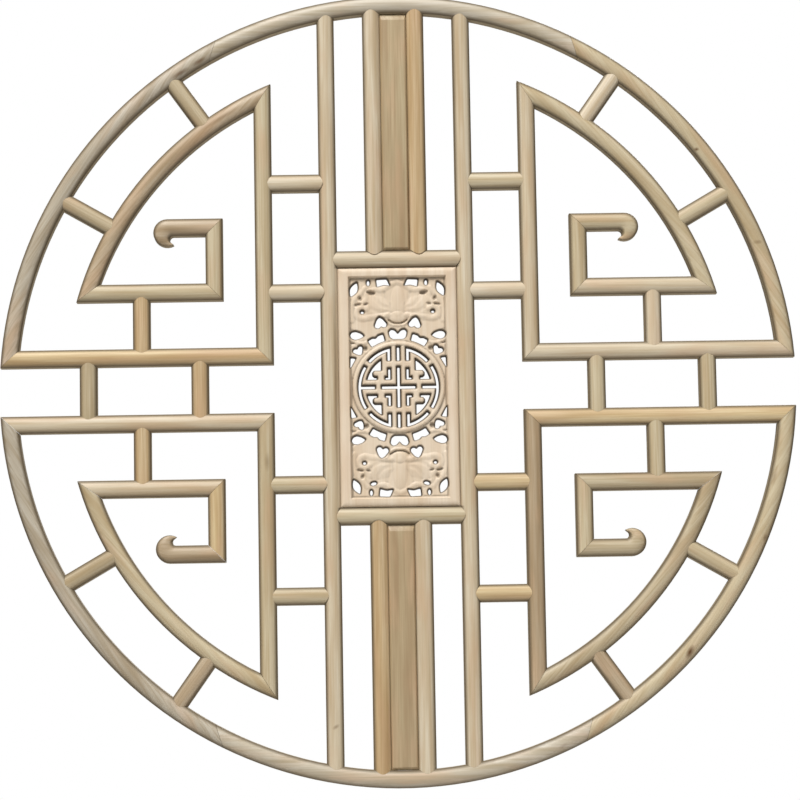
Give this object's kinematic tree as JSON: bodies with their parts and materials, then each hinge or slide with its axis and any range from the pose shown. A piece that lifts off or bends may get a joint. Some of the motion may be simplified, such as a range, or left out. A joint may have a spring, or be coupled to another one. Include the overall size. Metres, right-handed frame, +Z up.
{
  "type": "carved fretwork grille",
  "caption": "Round openwork wall grille of pale wood sticks with key frets in four quarters, raised panels and a pierced carved plaque at its middle.",
  "frame": {"origin": "on the flat back of the rim at top dead centre, where the grille hangs on a wall", "axes": "+Z up along the grille's upright centre line, -Y out of its carved face, +X to the right of someone who looks at the face; the backs of the sticks lie on y = 0"},
  "size_m": [0.9982, 0.02, 1],
  "materials": {
    "stick_wood": "sanded bare softwood, khaki to pinkish tan, grain along each stick, matt",
    "panel_wood": "sanded bare wood, browner than the sticks, matt",
    "plaque_wood": "carved bare wood, cream with a little pink, matt"
  },
  "bodies": {
    "root": {"top_right_long_rail": "stick_wood", "top_right_stile": "stick_wood", "top_right_inner_arc": "stick_wood", "top_right_key_rail": "stick_wood", "top_right_key_hook": "stick_wood", "top_right_key_strut": "stick_wood", "top_right_arc_tie_near": "stick_wood", "top_right_arc_tie_far": "stick_wood", "top_right_side_tie_near": "stick_wood", "top_right_side_tie_far": "stick_wood", "top_left_long_rail": "stick_wood", "top_left_stile": "stick_wood", "top_left_inner_arc": "stick_wood", "top_left_key_rail": "stick_wood", "top_left_key_hook": "stick_wood", "top_left_key_strut": "stick_wood", "top_left_arc_tie_near": "stick_wood", "top_left_arc_tie_far": "stick_wood", "top_left_side_tie_near": "stick_wood", "top_left_side_tie_far": "stick_wood", "bottom_left_long_rail": "stick_wood", "bottom_left_stile": "stick_wood", "bottom_left_inner_arc": "stick_wood", "bottom_left_key_rail": "stick_wood", "bottom_left_key_hook": "stick_wood", "bottom_left_key_strut": "stick_wood", "bottom_left_arc_tie_near": "stick_wood", "bottom_left_arc_tie_far": "stick_wood", "bottom_left_side_tie_near": "stick_wood", "bottom_left_side_tie_far": "stick_wood", "bottom_right_long_rail": "stick_wood", "bottom_right_stile": "stick_wood", "bottom_right_inner_arc": "stick_wood", "bottom_right_key_rail": "stick_wood", "bottom_right_key_hook": "stick_wood", "bottom_right_key_strut": "stick_wood", "bottom_right_arc_tie_near": "stick_wood", "bottom_right_arc_tie_far": "stick_wood", "bottom_right_side_tie_near": "stick_wood", "bottom_right_side_tie_far": "stick_wood", "rim_top_right": "stick_wood", "rim_top_left": "stick_wood", "rim_top_centre": "stick_wood", "rim_bottom_right": "stick_wood", "rim_bottom_left": "stick_wood", "right_waist_strut_inner": "stick_wood", "right_waist_strut_outer": "stick_wood", "right_upright": "stick_wood", "left_waist_strut_inner": "stick_wood", "left_waist_strut_outer": "stick_wood", "left_upright": "stick_wood", "plaque_rail_top": "stick_wood", "top_panel_stile_right": "stick_wood", "top_panel_stile_left": "stick_wood", "top_panel": "panel_wood", "plaque_rail_bottom": "stick_wood", "bottom_panel_stile_right": "stick_wood", "bottom_panel_stile_left": "stick_wood", "bottom_panel": "panel_wood", "carved_plaque": "plaque_wood"}
  },
  "joints": []
}
